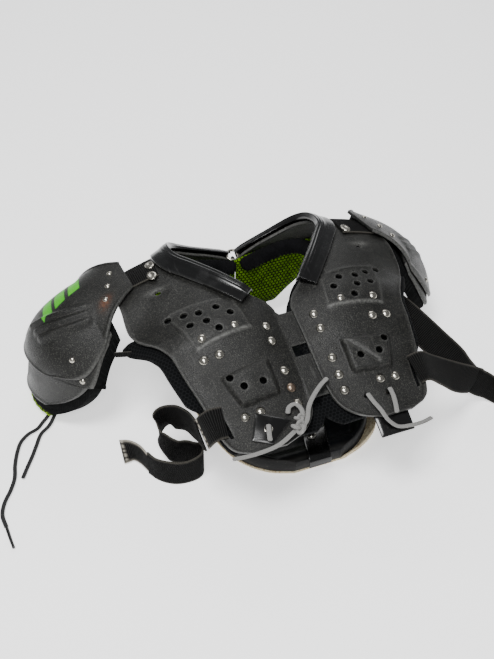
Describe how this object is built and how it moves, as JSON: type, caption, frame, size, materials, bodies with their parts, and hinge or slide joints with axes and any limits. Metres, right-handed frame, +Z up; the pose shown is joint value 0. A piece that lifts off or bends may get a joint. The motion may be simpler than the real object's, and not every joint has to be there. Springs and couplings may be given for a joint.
{
  "type": "football shoulder pad",
  "caption": "Pair of arched plastic shoulder plates with shoulder caps, neck rolls, body padding, a lower back pad, straps and laces, lying on its back.",
  "frame": {"origin": "middle of the footprint of the pads on the floor, free laces left out", "axes": "+X across the shoulders towards the wearer's left, +Y from the waist towards the head, +Z up from the back to the chest"},
  "size_m": [0.6322, 0.3556, 0.1712],
  "materials": {
    "plate": "fine grain",
    "gloss": "gloss",
    "roll": "woven",
    "mesh": "open mesh",
    "lime": "foam under net",
    "lining": "coated",
    "foam": "foam",
    "webbing": "ribbed",
    "lace": "braided",
    "steel": "worn"
  },
  "bodies": {
    "root": {"arch_plate_l": "plate", "arch_plate_r": "plate", "neck_collar_l": "gloss", "neck_collar_r": "gloss", "neck_roll_l": "roll", "neck_roll_r": "roll", "front_pad_l": "mesh", "front_pad_r": "mesh", "back_pad_l": "lime", "back_pad_r": "lime", "cap_webbing_l": "webbing", "cap_webbing_r": "webbing", "shoulder_cap_l": "plate", "shoulder_cap_r": "plate", "cap_flap_l": "plate", "cap_flap_r": "plate", "cap_pad_l": "mesh", "cap_pad_r": "mesh", "breast_band_upper": "plate", "breast_band_lower": "plate", "lower_back_pad": "lining", "lower_back_foam": "foam", "lace_plate_l": "gloss", "lace_tab_r": "gloss", "lower_tongue": "gloss", "side_webbing_l": "webbing", "side_elastic_l": "webbing", "hook_tab_l": "webbing", "side_webbing_r": "webbing", "shoulder_strap_r": "webbing", "side_elastic_r": "webbing", "cap_tie_l": "webbing", "lace_loop_l": "lace", "lace_cross_l": "lace", "lace_eyelet_l": "lace", "lace_long_r": "lace", "lace_short_r": "lace", "shoelace": "webbing", "shoelace_second": "webbing", "shoelace_tip": "gloss", "nape_ring": "steel"}
  },
  "joints": []
}
